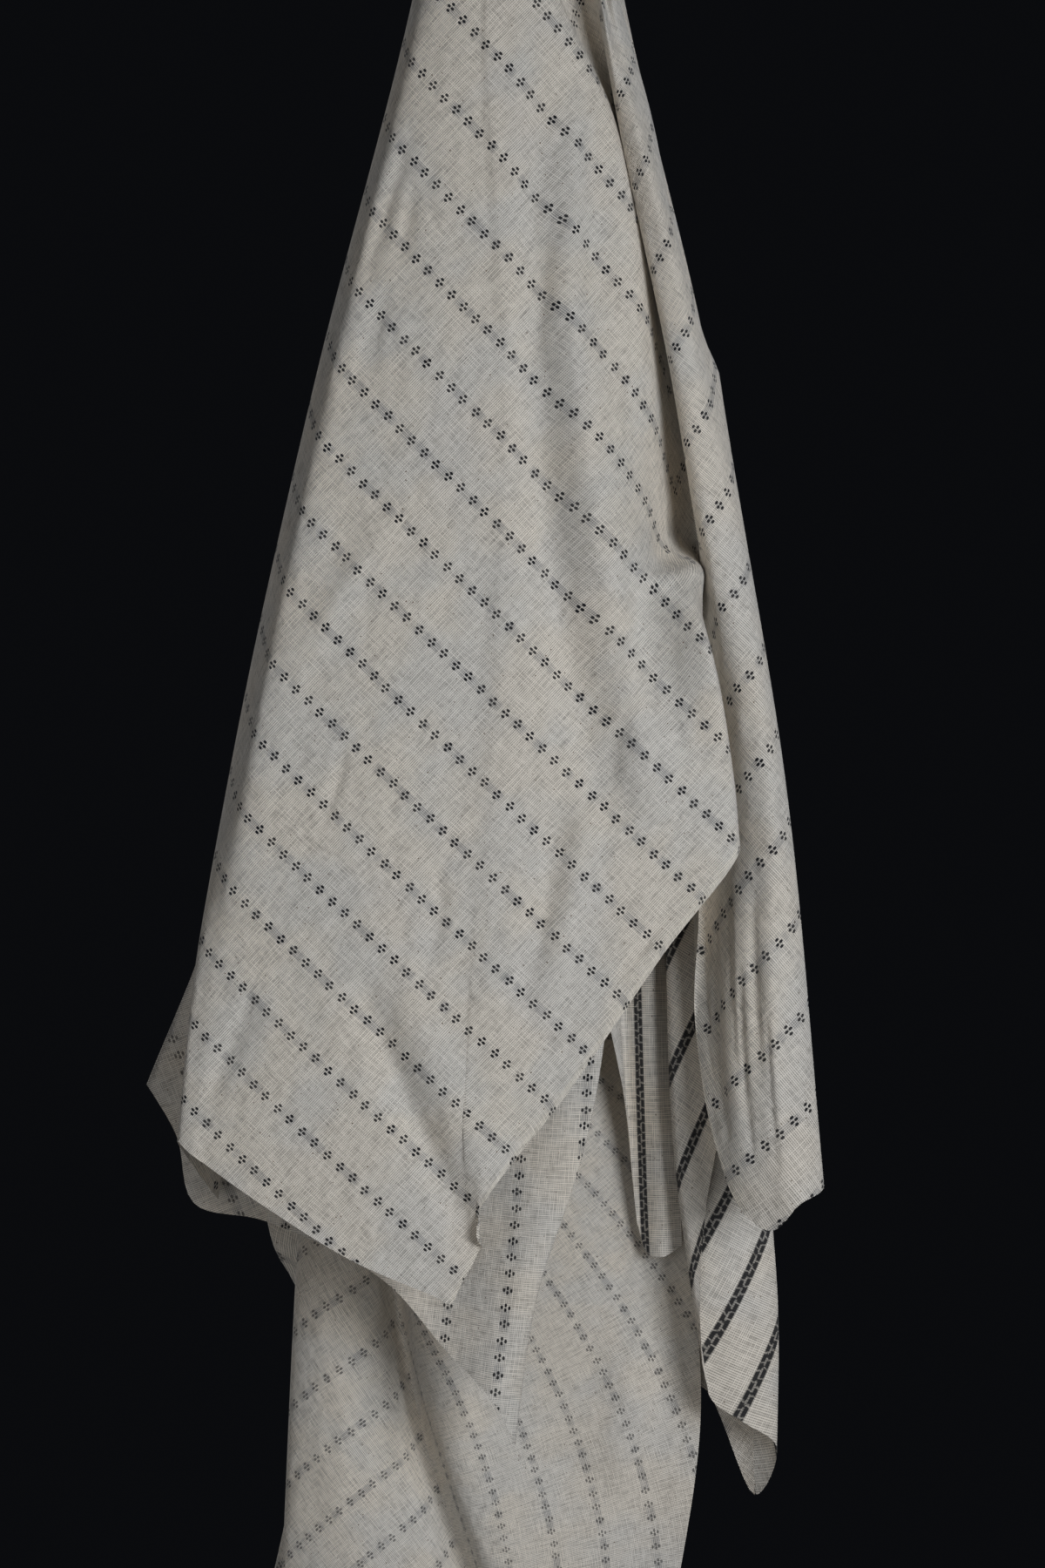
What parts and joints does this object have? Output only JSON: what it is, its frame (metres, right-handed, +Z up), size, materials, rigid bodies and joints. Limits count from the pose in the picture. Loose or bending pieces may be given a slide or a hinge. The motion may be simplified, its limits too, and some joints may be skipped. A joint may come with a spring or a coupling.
{
  "type": "hanging handwoven cotton cloth",
  "caption": "Length of off-white handwoven cotton with rows of small dark four-dot flowers, hanging in deep folds from one gathered point.",
  "frame": {"origin": "the hang point, at the middle of the gathered top edge", "axes": "+Z up from the hem to the hang point, +X to the viewer's right, -Y towards the viewer"},
  "size_m": [0.2333, 0.1274, 0.7021],
  "materials": {
    "cloth": "matt, loose handspun plain weave with dark extra-weft flowers"
  },
  "bodies": {
    "root": {"hanging_cloth": "cloth"}
  },
  "joints": []
}
